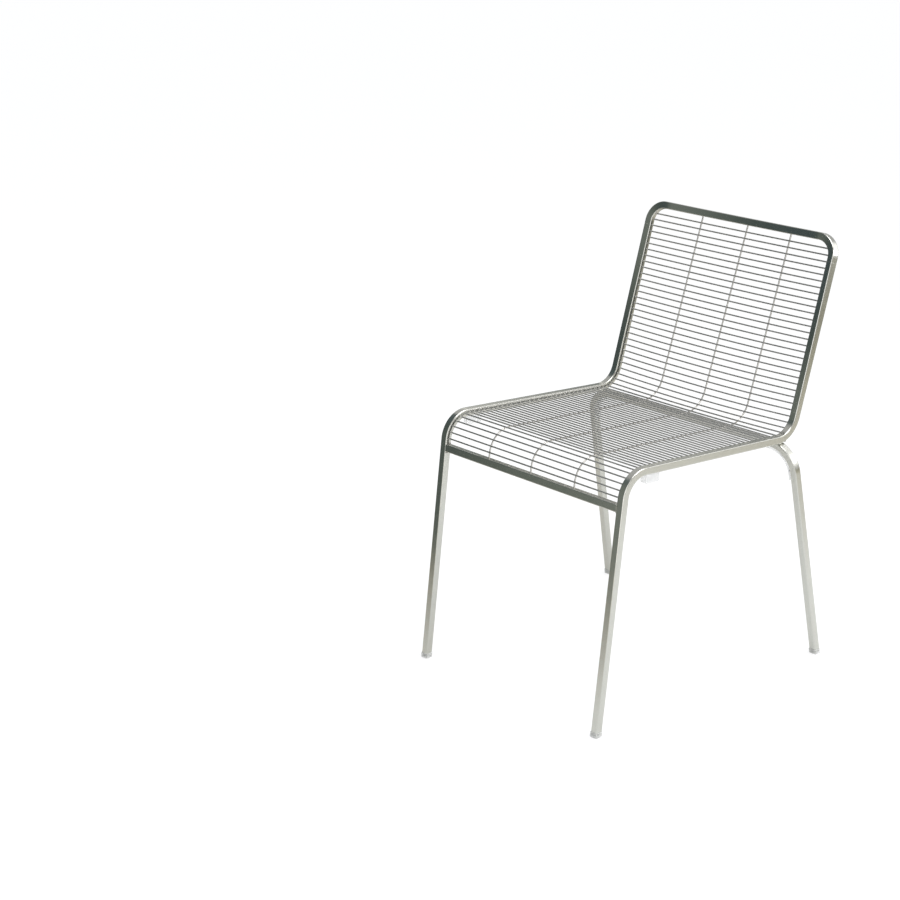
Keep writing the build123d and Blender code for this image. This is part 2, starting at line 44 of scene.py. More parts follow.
# Sizes of the chair in millimetres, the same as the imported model's
TUBE = 14.0
TUBE_EDGE = 1.8
HEIGHT = 800.0
SEAT_CORNER_Z = 480.0
SEAT_RUN = 445.0
LEG_LEAN = math.radians(7.24)
SEAT_SLOPE = math.radians(4.5)
RECLINE = math.radians(16.8)
HALF_WIDTH = 230.0
FRONT_BEND = 54.0
REAR_BEND = 42.0
RAIL_JOINT_DROP = 50.0
RAIL_CORNER = 35.0
RAIL_TURN_BEND = 60.0
RAIL_TURN = math.radians(13.35)
RAIL_STRAIGHT = 1.0
CROSSBAR_DROP = 60.7
HOOP_LEAN = math.radians(10.8)
HOOP_HALF = 259.0
HOOP_FOOT_HALF = 276.0
HOOP_BEND = 53.0
HOOP_FORWARD = 3.8
HOOP_LIFT = 2.28
ROD = 3.0
ROD_DEPTH = 5.5
ROD_PITCH = 12.055
TOP_ROD_DROP = 26.5
LOWEST_ROD_CLEAR = 9.0
BEND_BOW = 5.7
TOUCH_GAP = 0.1
LONG_WIRE_X = 107.5
EDGE_WIRE = 2.0
GLIDE_WALL = 1.25
GLIDE_FLOOR = 3.0
GLIDE_HEIGHT = 10.0
GLIDE_EDGE = 2.4
BLOCK_LENGTH = 34.0
BLOCK_HEIGHT = 16.0
BLOCK_WIDTH = 13.0
BLOCK_START = 52.0
BLOCK_CORNER = 4.0
STRIP_THICK = 5.0
STRIP_WIDTH = 13.0
STRIP_ON_BAR = 12.0
STRIP_ON_LEG = 14.0
RIVET_HEAD = 5.6
RIVET_RISE = 1.2
RIVET_ANGLES = (39.0, 84.0)

# Laps and small forms that only this model has; the end's share and the opening, an angle, are
# the two that aren't millimetres
LONG_WIRE_LAP = 1.0
ROD_LAP = 0.3
CORNER_LAP = 0.6
GLIDE_PLAY = 0.05
BLOCK_EDGE = 1.0
STRIP_EDGE = 1.4
STRIP_END_SHARE = 0.86
RIVET_SUNK = 0.6
DOME_OPENING = 0.08
BLOCK_EDGE_STEPS, DOME_STEPS, HEAD_SIDES = 5, 6, 20

HANDS = ((1, "right"), (-1, "left"))
half = TUBE / 2
TUBE_X = HALF_WIDTH - half
INNER_X = HALF_WIDTH - TUBE
WIRE_DEPTH = ROD_DEPTH + ROD + TOUCH_GAP
EDGE_WIRE_X = INNER_X - EDGE_WIRE / 2
ROD_END_X = INNER_X - EDGE_WIRE


def in_side_plane(angle):
    """Unit vector in the plane of a side frame, at an angle above the rearward direction."""
    return np.array([0.0, math.cos(angle), math.sin(angle)])


def behind(direction):
    """The side-plane direction turned a quarter turn away from the sitter."""
    return np.array([0.0, direction[2], -direction[1]])


leg_up = in_side_plane(math.pi / 2 - LEG_LEAN)
seat_back = in_side_plane(-SEAT_SLOPE)
back_up = in_side_plane(math.pi / 2 - RECLINE)
hoop_up = in_side_plane(math.pi / 2 + HOOP_LEAN)
leg_in, seat_in = behind(leg_up), behind(seat_back)
back_in, hoop_rear = behind(back_up), behind(hoop_up)
across = np.array([1.0, 0.0, 0.0])

# Bow of the top rail: its two slanting halves would meet at the apex, which a long arc rounds
turn_tangent = RAIL_TURN_BEND * math.tan(RAIL_TURN / 2)
turn_x = TUBE_X - RAIL_CORNER - turn_tangent - RAIL_STRAIGHT
apex_depth = turn_x * math.tan(RAIL_TURN)
rail_arc = (turn_x / math.cos(RAIL_TURN) - turn_tangent - RAIL_STRAIGHT) / math.tan(RAIL_TURN)
RAIL_BOW = apex_depth - rail_arc * (1 / math.cos(RAIL_TURN) - 1)

rear_corner_z = SEAT_CORNER_Z - SEAT_RUN * math.tan(SEAT_SLOPE)
back_height = HEIGHT - rear_corner_z
foot_reach = SEAT_CORNER_Z * math.tan(LEG_LEAN) + GLIDE_WALL / math.cos(LEG_LEAN)
rear_reach = SEAT_RUN + back_height * math.tan(RECLINE) + (TUBE + RAIL_BOW) * math.cos(RECLINE)
rear_reach -= TUBE_EDGE * (math.sin(RECLINE) + math.cos(RECLINE) - 1)
seat_corner = np.array([0.0, (foot_reach - rear_reach) / 2, SEAT_CORNER_Z])
rear_corner = np.array([0.0, seat_corner[1] + SEAT_RUN, rear_corner_z])
back_top = rear_corner + back_up * back_height / math.cos(RECLINE)


def meet(corner, first_in, second_in, depth):
    """Corner of two lines after both are moved the same depth inward."""
    return corner + (first_in + second_in) * depth / (1 + first_in @ second_in)


def bowed(depth, x):
    """Sagitta of an arc across the inner width at x: sqrt(R^2 - x^2) - (R - depth)."""
    radius = (INNER_X ** 2 + depth ** 2) / (2 * depth)
    return math.sqrt(radius ** 2 - x ** 2) - (radius - depth)


def side_corners(start, depth, x, bow_x):
    """Leg, seat corner, rear corner and top of the side line at a depth, put at x."""
    low = seat_corner - leg_up * start + leg_in * depth
    front = meet(seat_corner, leg_in, seat_in, depth)
    rear = meet(rear_corner, seat_in, back_in, depth) + seat_back * bowed(BEND_BOW, bow_x)
    top = back_top + back_in * (depth + bowed(RAIL_BOW, bow_x))
    return np.array([low, front, rear, top]) + across * x


def side_radii(depth):
    """Front and rear bend radii of the side line at a depth."""
    return [FRONT_BEND - depth, REAR_BEND + depth]


def turned(vector, axis, angles):
    """One vector turned about an axis by each of an array of angles.

    It is vector * cos + (axis x vector) * sin + axis * (axis . vector) * (1 - cos).
    """
    cosines, sines = np.cos(angles)[:, None], np.sin(angles)[:, None]
    kept = axis * (axis @ vector)
    return vector * cosines + np.cross(axis, vector) * sines + kept * (1 - cosines)


def bent_path(corners, radii, side, degrees=3.0, support=0.3):
    """Straight runs joined by tangent arcs, with a side vector carried without twist.

    Each corner gives an arc that starts r*tan(turn/2) before it; inside the arc the side
    vector and the tangent turn about the arc's axis by the same angle as the point. Each
    straight run has one more station a support's length inside both of its ends.
    Returns stations, sides, tangents and lengths along the path.
    """
    corners = np.asarray(corners, float)
    runs = np.diff(corners, axis=0)
    ways = runs / np.linalg.norm(runs, axis=1)[:, None]
    side = side - ways[0] * (side @ ways[0])
    side = side / np.linalg.norm(side)
    points, sides, tangents = [corners[:1]], [side[None]], [ways[:1]]

    def straight_to(end, way):
        """Stations just inside both ends of the run from the last point to its end."""
        points.append(np.array([points[-1][-1] + way * support, end - way * support]))
        sides.append(np.array([side, side]))
        tangents.append(np.array([way, way]))

    for corner, radius, before, after in zip(corners[1:-1], radii, ways[:-1], ways[1:]):
        turn = math.acos(np.clip(before @ after, -1, 1))
        axis = np.cross(before, after)
        axis = axis / np.linalg.norm(axis)
        start = corner - before * radius * math.tan(turn / 2)
        straight_to(start, before)
        centre = start + np.cross(axis, before) * radius
        angles = np.linspace(0, turn, max(3, int(math.degrees(turn) / degrees) + 2))
        points.append(centre + turned(start - centre, axis, angles))
        sides.append(turned(side, axis, angles))
        tangents.append(turned(before, axis, angles))
        side = sides[-1][-1]
    straight_to(corners[-1], ways[-1])
    points.append(corners[-1:])
    sides.append(side[None])
    tangents.append(ways[-1:])
    points, sides, tangents = map(np.concatenate, (points, sides, tangents))
    lengths = np.concatenate([[0], np.cumsum(np.linalg.norm(np.diff(points, axis=0), axis=1))])
    return points, sides, tangents, lengths


def twisted_end(path, turn, count=24):
    """The path with its last straight run twisted.

    At a share t of that run the side vector has turned by turn * t^2 * (3 - 2t) about it.
    """
    points, sides, tangents, lengths = path
    share = np.linspace(0, 1, count)
    run = points[-3] + (points[-2] - points[-3]) * share[:, None]
    turning = turned(sides[-3], tangents[-1], turn * share ** 2 * (3 - 2 * share))
    ways = np.repeat(tangents[-1:], count, axis=0)
    run_lengths = lengths[-3] + (lengths[-2] - lengths[-3]) * share
    return (
        np.concatenate([points[:-3], run, points[-1:]]),
        np.concatenate([sides[:-3], turning, turning[-1:]]),
        np.concatenate([tangents[:-3], ways, ways[-1:]]),
        np.concatenate([lengths[:-3], run_lengths, lengths[-1:]]),
    )


def rounded_square(width, height, edge, steps=5, support=0.2):
    """Closed outline of four quarter arcs of radius edge, one at each corner of a rectangle.

    A support point lies on the flats on both sides of each arc, a support's length away.
    """
    angles = np.linspace(0, math.pi / 2, steps)
    arc = np.stack([np.cos(angles), np.sin(angles)], 1) * edge
    quarter = np.concatenate([[[edge, -support]], arc, [[-support, edge]]])
    inner = np.array([width / 2 - edge, height / 2 - edge])
    corners = []
    for number, signs in enumerate(((1, 1), (-1, 1), (-1, -1), (1, -1))):
        cosine, sine = math.cos(number * math.pi / 2), math.sin(number * math.pi / 2)
        spin = np.array([[cosine, -sine], [sine, cosine]])
        corners.append(quarter @ spin.T + inner * signs)
    return np.concatenate(corners)


def round_outline(radius, sides=14):
    """Closed circle with a number of sides."""
    angles = np.arange(sides) * 2 * math.pi / sides
    return np.stack([np.cos(angles), np.sin(angles)], 1) * radius


def swept_grid(path, outline):
    """Outline carried along a path: station + side * a + (tangent x side) * b.

    With it go the lengths along the path and round the outline, which make its UV map.
    """
    points, sides, tangents, lengths = path
    others = np.cross(tangents, sides)
    grid = points[:, None] + sides[:, None] * outline[:, :1] + others[:, None] * outline[:, 1:]
    girth = np.linalg.norm(np.diff(np.vstack([outline, outline[:1]]), axis=0), axis=1)
    girth = np.concatenate([[0], np.cumsum(girth)])
    return grid, lengths, girth


class Body:
    """Collects grids of rings and makes one smooth mesh of their closed skins."""

    def __init__(self):
        self.vertices, self.quads, self.caps, self.uvs, self.count = [], [], [], [], 0

    def sweep(self, path, outline):
        """Adds an outline carried along a path."""
        return self.rings(*swept_grid(path, outline))

    def rings(self, grid, lengths, girth):
        """Adds a closed skin over rings of points, with a face over the first and last ring."""
        rows, columns = grid.shape[:2]
        row, column = np.meshgrid(np.arange(rows - 1), np.arange(columns), indexing="ij")
        ahead = (column + 1) % columns
        near, far = row * columns, (row + 1) * columns
        corner = np.stack([near + column, near + ahead, far + ahead, far + column], -1)
        self.quads.append(corner.reshape(-1, 4) + self.count)
        beside, past = girth[column], girth[column + 1]
        across_uv = np.stack([beside, past, past, beside], -1)
        before, after = lengths[row], lengths[row + 1]
        along_uv = np.stack([before, before, after, after], -1)
        self.uvs.append(np.stack([along_uv, across_uv], -1).reshape(-1, 2))
        ends = np.arange(columns)
        self.caps.append(ends[::-1] + self.count)
        self.caps.append(ends + (rows - 1) * columns + self.count)
        self.vertices.append(grid.reshape(-1, 3))
        self.count += rows * columns
        return self

    def make(self, name, material, nodes, slot):
        """Makes the mesh, with its lengths in metres as its UV map, and its object."""
        vertices = np.concatenate(self.vertices) * MM
        quads = np.concatenate(self.quads)
        uvs = np.concatenate(self.uvs)
        faces = quads.tolist() + [cap.tolist() for cap in self.caps]
        mesh = bpy.data.meshes.new(name)
        mesh.from_pydata(vertices.tolist(), [], faces)
        cap_corners = sum(len(cap) for cap in self.caps)
        layer = mesh.uv_layers.new(name="grain")
        flat = np.concatenate([uvs * MM, np.zeros((cap_corners, 2))])
        layer.data.foreach_set("uv", flat.ravel())
        smooth = np.concatenate([np.ones(len(quads), bool), np.zeros(len(self.caps), bool)])
        mesh.polygons.foreach_set("use_smooth", smooth)
        mesh.update()
        mesh.materials.append(material)
        piece = bpy.data.objects.new(name, mesh)
        bpy.context.scene.collection.objects.link(piece)
        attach(piece, "root")
        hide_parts(*nodes)


class Wire:
    """A shader socket with arithmetic: an expression on wires adds its Math nodes."""

    def __init__(self, tree, socket):
        self.tree, self.socket = tree, socket

    def _math(self, operation, first, second):
        return node(self.tree, "ShaderNodeMath", {"operation": operation}, {0: first, 1: second})

    def __add__(self, other):
        return self._math("ADD", self, other)

    def __radd__(self, other):
        return self._math("ADD", other, self)

    def __sub__(self, other):
        return self._math("SUBTRACT", self, other)

    def __rsub__(self, other):
        return self._math("SUBTRACT", other, self)

    def __mul__(self, other):
        return self._math("MULTIPLY", self, other)

    def __rmul__(self, other):
        return self._math("MULTIPLY", other, self)


def node(tree, kind, settings=None, values=None, output=0):
    """One node: its settings first, then the values or links of its sockets."""
    made = tree.nodes.new(kind)
    for key, value in (settings or {}).items():
        if key == "stops":
            ramp = made.color_ramp.elements
            while len(ramp) < len(value):
                ramp.new(0.5)
            for element, (place, colour) in zip(ramp, value):
                element.position, element.color = place, colour
        else:
            setattr(made, key, value)
    for key, value in (values or {}).items():
        if isinstance(value, Wire):
            tree.links.new(value.socket, made.inputs[key])
        else:
            made.inputs[key].default_value = value
    return Wire(tree, made.outputs[output])


def soft_step(tree, value, start, end, low, high):
    """Smooth step from low to high as a value goes from start to end."""
    return node(
        tree,
        "ShaderNodeMapRange",
        {"interpolation_type": "SMOOTHSTEP"},
        {"Value": value, "From Min": start, "From Max": end, "To Min": low, "To Max": high},
    )


def even_step(tree, value, start, end):
    """Straight ramp from 0 to 1 as a value goes from start to end."""
    return node(
        tree, "ShaderNodeMapRange", {}, {"Value": value, "From Min": start, "From Max": end}
    )


def share_along(tree, vector, way):
    """How far a vector goes along a way: their dot product."""
    return node(
        tree, "ShaderNodeVectorMath", {"operation": "DOT_PRODUCT"}, {0: vector, 1: way}, "Value"
    )


def empty_material(name):
    """A material with an empty tree and its output node."""
    material = bpy.data.materials.new(name)
    material.use_nodes = True
    tree = material.node_tree
    tree.nodes.clear()
    return material, tree, tree.nodes.new("ShaderNodeOutputMaterial")


# Grain of the brushed bars in metres, and how much noise changes their roughness
GRAIN_LENGTH, GRAIN_WIDTH, GRAIN_HEIGHT = 0.048, 0.0004, 0.00002
PATCH_SCALE = 60.0
LINE_ROUGHNESS, PATCH_ROUGHNESS = 0.12, 0.08
NOISE_MIDDLE = 0.5
# Dents of the unbrushed pieces
DENT_SCALE, DENT_HEIGHT, DENT_STRENGTH, DENT_ROUGHNESS = 900.0, 0.0001, 0.3, 0.2
# Clouds, whites and shares of the milky plastic
CLOUD_SCALE, CLOUD_SHARE = 90.0, 0.2
MILK_WHITE, MILK_ROUGHNESS, MILK_SHEEN = (0.95, 0.95, 0.945, 1), 0.3, 0.3
THROUGH_WHITE, THROUGH_SHARE = (0.97, 0.97, 0.965, 1), 0.5
CLEAR_WHITE, CLEAR_SHARE = (0.99, 0.99, 0.985, 1), 0.45


def bare_metal(tree, output, tint, rough, bump_values):
    """Metal of a tint and a roughness whose normal comes from a bump, joined to the output."""
    bump = node(tree, "ShaderNodeBump", {}, bump_values)
    steel = node(
        tree,
        "ShaderNodeBsdfPrincipled",
        {},
        {"Base Color": (*tint, 1), "Metallic": 1.0, "Roughness": rough, "Normal": bump},
    )
    tree.links.new(steel.socket, output.inputs["Surface"])


def brushed_steel(name, tint, roughness, grain_depth):
    """Satin steel: fine lines along the bar vary its roughness and tilt its surface a little."""
    material, tree, output = empty_material(name)
    flat_noise = {"noise_dimensions": "2D"}
    place = node(tree, "ShaderNodeUVMap", {"uv_map": "grain"})
    stretched = node(
        tree,
        "ShaderNodeMapping",
        {"vector_type": "POINT"},
        {"Vector": place, "Scale": (1 / GRAIN_LENGTH, 1 / GRAIN_WIDTH, 1.0)},
    )
    lines = node(
        tree, "ShaderNodeTexNoise", flat_noise, {"Vector": stretched, "Scale": 1.0, "Detail": 3.0}
    )
    patches = node(
        tree,
        "ShaderNodeTexNoise",
        flat_noise,
        {"Vector": place, "Scale": PATCH_SCALE, "Detail": 2.0},
    )
    rough = (lines - NOISE_MIDDLE) * LINE_ROUGHNESS
    rough = rough + (patches - NOISE_MIDDLE) * PATCH_ROUGHNESS + roughness
    bump_values = {"Strength": grain_depth, "Distance": GRAIN_HEIGHT, "Height": lines}
    bare_metal(tree, output, tint, rough, bump_values)
    return material


def bead_steel(name, tint, roughness):
    """Small unbrushed steel piece: uneven roughness and fine dents over its surface."""
    material, tree, output = empty_material(name)
    place = node(tree, "ShaderNodeTexCoord", {}, {}, "Object")
    dents = node(
        tree, "ShaderNodeTexNoise", {}, {"Vector": place, "Scale": DENT_SCALE, "Detail": 2.0}
    )
    rough = (dents - NOISE_MIDDLE) * DENT_ROUGHNESS + roughness
    bump_values = {"Strength": DENT_STRENGTH, "Distance": DENT_HEIGHT, "Height": dents}
    bare_metal(tree, output, tint, rough, bump_values)
    return material


def clear_plastic(name):
    """Milky moulded plastic: part seen through, part lit from its front and part from behind."""
    material, tree, output = empty_material(name)
    place = node(tree, "ShaderNodeTexCoord", {}, {}, "Object")
    clouds = node(
        tree, "ShaderNodeTexNoise", {}, {"Vector": place, "Scale": CLOUD_SCALE, "Detail": 2.0}
    )
    rough = clouds * CLOUD_SHARE + MILK_ROUGHNESS
    milk = node(
        tree,
        "ShaderNodeBsdfPrincipled",
        {},
        {"Base Color": MILK_WHITE, "Roughness": rough, "Specular IOR Level": MILK_SHEEN},
    )
    through = node(tree, "ShaderNodeBsdfTranslucent", {}, {"Color": THROUGH_WHITE})
    clear = node(tree, "ShaderNodeBsdfTransparent", {}, {"Color": CLEAR_WHITE})
    cloudy = node(tree, "ShaderNodeMixShader", {}, {0: THROUGH_SHARE, 1: milk, 2: through})
    clear_part = clouds * CLOUD_SHARE + CLEAR_SHARE
    mixed = node(tree, "ShaderNodeMixShader", {}, {0: clear_part, 1: cloudy, 2: clear})
    tree.links.new(mixed.socket, output.inputs["Surface"])
    return material


# Tint, mean roughness and, for the brushed bars, how strongly the grain tilts the surface
tube_steel = brushed_steel("tube_steel", (0.70, 0.70, 0.66), 0.22, 0.15)
rod_steel = brushed_steel("rod_steel", (0.69, 0.68, 0.68), 0.3, 0.1)
wire_steel = brushed_steel("wire_steel", (0.66, 0.64, 0.61), 0.3, 0.1)
# The edge wires' near-black tint is painted shade: it stands for the shadow gap between each edge
# wire and the tube's inner face
edge_wire_painted_shade = brushed_steel("edge_wire_painted_shade", (0.17, 0.175, 0.16), 0.34, 0.1)
weld_steel = bead_steel("weld_steel", (0.30, 0.29, 0.27), 0.38)
rivet_steel = bead_steel("rivet_steel", (0.68, 0.68, 0.67), 0.24)
plastic = clear_plastic("milky_plastic")

# Sections of the tube, the rods and the edge wires
square = rounded_square(TUBE, TUBE, TUBE_EDGE)
rod_round = round_outline(ROD / 2)
edge_round = round_outline(EDGE_WIRE / 2)

for way, hand in HANDS:
    corners = side_corners(0, half, TUBE_X * way, INNER_X)
    foot = corners[0] - leg_up * (corners[0][2] - GLIDE_FLOOR) / leg_up[2]
    joint = back_top - back_up * RAIL_JOINT_DROP + back_in * half + across * TUBE_X * way
    path = bent_path([foot, corners[1], corners[2], joint], side_radii(half), across)
    path = twisted_end(path, -RAIL_TURN * way)
    Body().sweep(path, square).make(
        f"side_tube_{hand}_steel", tube_steel, [f"side_tube_{hand}"], "tube_steel"
    )


def on_back(x, drop, depth):
    """Point at a width, a drop below the top and a depth behind the sitter's face of the back."""
    return across * x - back_up * drop + back_in * depth + back_top


rail_corners = [
    on_back(-TUBE_X, RAIL_JOINT_DROP, half),
    on_back(-TUBE_X, half, half),
    on_back(-turn_x, half, half),
    on_back(0, half, half + apex_depth),
    on_back(turn_x, half, half),
    on_back(TUBE_X, half, half),
    on_back(TUBE_X, RAIL_JOINT_DROP, half),
]
rail_radii = [RAIL_CORNER, RAIL_TURN_BEND, rail_arc, RAIL_TURN_BEND, RAIL_CORNER]
rail_path = bent_path(rail_corners, rail_radii, back_in, degrees=1.5)
rail_points, rail_sides, rail_ways, _ = rail_path
# Outside the bow the rail keeps the twist of the uprights
for way in (1, -1):
    ends = rail_points[:, 0] * way > turn_x
    target = back_in * math.cos(RAIL_TURN) + across * math.sin(RAIL_TURN) * way
    kept = target - rail_ways[ends] * (rail_ways[ends] @ target)[:, None]
    rail_sides[ends] = kept / np.linalg.norm(kept, axis=1)[:, None]
Body().sweep(rail_path, square).make("top_rail_steel", tube_steel, ["top_rail"], "tube_steel")

bar_middle = seat_corner - leg_up * (CROSSBAR_DROP + half) + leg_in * half
bar_path = bent_path([bar_middle - across * INNER_X, bar_middle + across * INNER_X], [], leg_in)
Body().sweep(bar_path, square).make(
    "front_crossbar_steel", tube_steel, ["front_crossbar"], "tube_steel"
)

# Rear legs
bend_middle = meet(rear_corner, seat_in, back_in, -REAR_BEND)
hoop_fall = REAR_BEND + TUBE + half - HOOP_LIFT
hoop_middle = bend_middle - hoop_up * hoop_fall - hoop_rear * HOOP_FORWARD
hoop_drop = hoop_middle[2] / hoop_up[2]
hoop_corner_x = HOOP_HALF - half
splay = HOOP_FOOT_HALF - HOOP_HALF
leg_slope = splay / hoop_drop


def on_hoop(x, rise):
    """Point in the middle plane of the hoop at a width and a height above the bar's middle."""
    return hoop_middle + across * x + hoop_up * rise


foot_rise = GLIDE_FLOOR / hoop_up[2] - hoop_drop
foot_x = hoop_corner_x - leg_slope * foot_rise
hoop_corners = [
    on_hoop(-foot_x, foot_rise),
    on_hoop(-hoop_corner_x, 0),
    on_hoop(hoop_corner_x, 0),
    on_hoop(foot_x, foot_rise),
]
hoop_path = bent_path(hoop_corners, [HOOP_BEND, HOOP_BEND], hoop_rear)
Body().sweep(hoop_path, square).make(
    "rear_leg_hoop_steel", tube_steel, ["rear_leg_hoop"], "tube_steel"
)


# Wires lengthwise
def shortened(corners, length):
    """The corners of a side line with the top one moved down along the back by a length."""
    run = corners[2] - corners[3]
    corners[3] += run * length / np.linalg.norm(run)
    return corners


for name, x in (("left", -LONG_WIRE_X), ("centre", 0.0), ("right", LONG_WIRE_X)):
    corners = shortened(side_corners(CROSSBAR_DROP, WIRE_DEPTH, x, x), TUBE - LONG_WIRE_LAP)
    path = bent_path(corners, side_radii(WIRE_DEPTH), across)
    Body().sweep(path, rod_round).make(
        f"long_wire_{name}_steel", wire_steel, [f"long_wire_{name}"], "rod_steel"
    )

for way, hand in HANDS:
    corners = side_corners(CROSSBAR_DROP, ROD_DEPTH, EDGE_WIRE_X * way, EDGE_WIRE_X)
    path = bent_path(shortened(corners, half + RAIL_CORNER), side_radii(ROD_DEPTH), across)
    Body().sweep(path, edge_round).make(
        f"edge_wire_{hand}_steel", edge_wire_painted_shade, [f"edge_wire_{hand}"], "rod_steel"
    )

# Cross rods
front_radius, rear_radius = side_radii(ROD_DEPTH)
front_turn = math.pi / 2 - LEG_LEAN + SEAT_SLOPE


def line_stretches(bow_x):
    """Lengths along the rod line at which its front bend, seat, rear bend and back start."""
    low, front, rear, top = side_corners(CROSSBAR_DROP, ROD_DEPTH, 0, bow_x)
    turn = math.acos(seat_back @ (top - rear) / np.linalg.norm(top - rear))
    bend = front_radius * math.tan(front_turn / 2)
    lengths = [
        np.linalg.norm(front - low) - bend,
        front_radius * front_turn,
        np.linalg.norm(rear - front) - bend - rear_radius * math.tan(turn / 2),
        rear_radius * turn,
    ]
    return np.cumsum(lengths)


def along_line(steps, bow_x):
    """Points of the rod line at lengths along it, by interpolation in its fine polyline."""
    corners = side_corners(CROSSBAR_DROP, ROD_DEPTH, 0, bow_x)
    points, _, _, lengths = bent_path(corners, side_radii(ROD_DEPTH), across, degrees=0.5)
    return np.stack([np.interp(steps, lengths, axis) for axis in points.T], 1), lengths[-1]


stretches = line_stretches(INNER_X)
_, side_length = along_line(np.zeros(1), INNER_X)
_, middle_length = along_line(np.zeros(1), 0)
rod_number = int((side_length - TOP_ROD_DROP - LOWEST_ROD_CLEAR) / ROD_PITCH) + 1
steps = side_length - TOP_ROD_DROP - ROD_PITCH * np.arange(rod_number)
rod_ends, _ = along_line(steps, INNER_X)
bend_start = stretches[2]
lengthening = (middle_length - bend_start) / (side_length - bend_start)
middle_steps = bend_start + (steps - bend_start) * lengthening
middle_steps = np.where(steps > bend_start, middle_steps, steps)
rod_middles, _ = along_line(middle_steps, 0)
# Half lengths: to the edge wires, and higher up to the inside of the rail's corners
into_corner = np.clip(half + RAIL_CORNER - (side_length - steps), 0, None)
in_corner = np.sqrt(np.clip((RAIL_CORNER - half) ** 2 - into_corner ** 2, 0, None))
reach = np.where(into_corner > 0, TUBE_X - RAIL_CORNER + in_corner + CORNER_LAP, INNER_X)
reach = np.minimum(reach, ROD_END_X + ROD_LAP)


def bowed_rod(end, middle, half_length, bent_count=25, straight=0.05, support=0.3):
    """Rod from end to end that is bowed by shift * (1 - (x / inner)^2) at each x.

    The shift goes from the line through its ends to its middle. A rod whose shift is under
    the straight value has only the stations at its ends.
    """
    shift = middle - end
    inside = half_length - support
    xs = np.linspace(-inside, inside, bent_count if np.linalg.norm(shift) > straight else 2)
    xs = np.concatenate([[-half_length], xs, [half_length]])
    points = end + across * xs[:, None] + shift * (1 - (xs / INNER_X) ** 2)[:, None]
    tangents = across - shift * (2 * xs / INNER_X ** 2)[:, None]
    tangents /= np.linalg.norm(tangents, axis=1)[:, None]
    sides = np.cross(tangents, back_in)
    sides /= np.linalg.norm(sides, axis=1)[:, None]
    return points, sides, tangents, xs + half_length


groups = {
    "front_bend_rods": steps < stretches[1],
    "seat_rods": (steps >= stretches[1]) & (steps < stretches[2]),
    "rear_bend_rods": (steps >= stretches[2]) & (steps < stretches[3]),
    "back_rods": steps >= stretches[3],
}
for name, chosen in groups.items():
    rods = Body()
    for end, middle, half_length in zip(rod_ends[chosen], rod_middles[chosen], reach[chosen]):
        rods.sweep(bowed_rod(end, middle, half_length), rod_round)
    rods.make(f"{name}_steel", rod_steel, [name], "rod_steel")


# Plastic pieces
def slid_rings(foot, way, side, rings):
    """Rounded squares across a leaning leg, each point slid along the leg to its ring's height.

    A point at side * a + (way x side) * b from the foot moves by way * (height - z) / way_z.
    """
    other = np.cross(way, side)
    grid = []
    for height, half_size, edge in rings:
        outline = rounded_square(2 * half_size, 2 * half_size, edge)
        points = foot + side * outline[:, :1] + other * outline[:, 1:]
        grid.append(points + way * ((height - points[:, 2:]) / way[2]))
    return plain(np.array(grid))


def plain(grid):
    """A grid of rings with no lengths on it, for materials that need none."""
    return grid, np.zeros(len(grid)), np.zeros(grid.shape[1] + 1)


cap_half = half + GLIDE_WALL
bore_half = half + GLIDE_PLAY
# Height, half size and corner radius of each ring, up the outside and down into the bore
GLIDE_RINGS = (
    (0.0, cap_half - 1.3, GLIDE_EDGE - 1.1),
    (0.12, cap_half - 0.8, GLIDE_EDGE - 0.7),
    (0.5, cap_half - 0.3, GLIDE_EDGE - 0.2),
    (1.1, cap_half - 0.05, GLIDE_EDGE),
    (1.6, cap_half, GLIDE_EDGE),
    (GLIDE_HEIGHT - 1.2, cap_half, GLIDE_EDGE),
    (GLIDE_HEIGHT - 0.5, cap_half - 0.1, GLIDE_EDGE),
    (GLIDE_HEIGHT - 0.12, cap_half - 0.35, GLIDE_EDGE - 0.2),
    (GLIDE_HEIGHT, cap_half - 0.65, GLIDE_EDGE - 0.4),
    (GLIDE_HEIGHT, bore_half + 0.25, TUBE_EDGE + 0.2),
    (GLIDE_HEIGHT - 0.25, bore_half, TUBE_EDGE),
    (GLIDE_FLOOR + 0.2, bore_half, TUBE_EDGE),
    (GLIDE_FLOOR, bore_half - 0.2, TUBE_EDGE),
)
front_foot = seat_corner - leg_up * SEAT_CORNER_Z / leg_up[2] + leg_in * half
rear_foot_x = hoop_corner_x + splay
for way, hand in HANDS:
    foot = front_foot + across * TUBE_X * way
    Body().rings(*slid_rings(foot, leg_up, across, GLIDE_RINGS)).make(
        f"foot_glide_front_{hand}_clear", plastic, [f"foot_glide_front_{hand}"], "clear_plastic"
    )
    foot = on_hoop(rear_foot_x * way, -hoop_drop)
    leg_way = on_hoop(hoop_corner_x * way, 0) - foot
    leg_way = leg_way / np.linalg.norm(leg_way)
    Body().rings(*slid_rings(foot, leg_way, hoop_rear, GLIDE_RINGS)).make(
        f"foot_glide_rear_{hand}_clear", plastic, [f"foot_glide_rear_{hand}"], "clear_plastic"
    )


def block_outline(inset, steps=7, support=0.3):
    """Side outline of a stacking block: flat top at the rail, quarter arcs at its lower corners."""
    length, height, corner = BLOCK_LENGTH - 2 * inset, BLOCK_HEIGHT - inset, BLOCK_CORNER - inset
    angles = np.linspace(0, math.pi / 2, steps)
    arc = np.stack([np.cos(angles), -np.sin(angles)], 1) * corner
    right_low = arc + (length / 2 - corner, corner - height)
    left_low = arc[::-1] * (-1, 1) + (corner - length / 2, corner - height)
    right_top = np.array([[length / 2, 0.0], [length / 2, -support]])
    left_top = right_top[::-1] * (-1, 1)
    return np.concatenate([right_top, right_low, left_low, left_top])


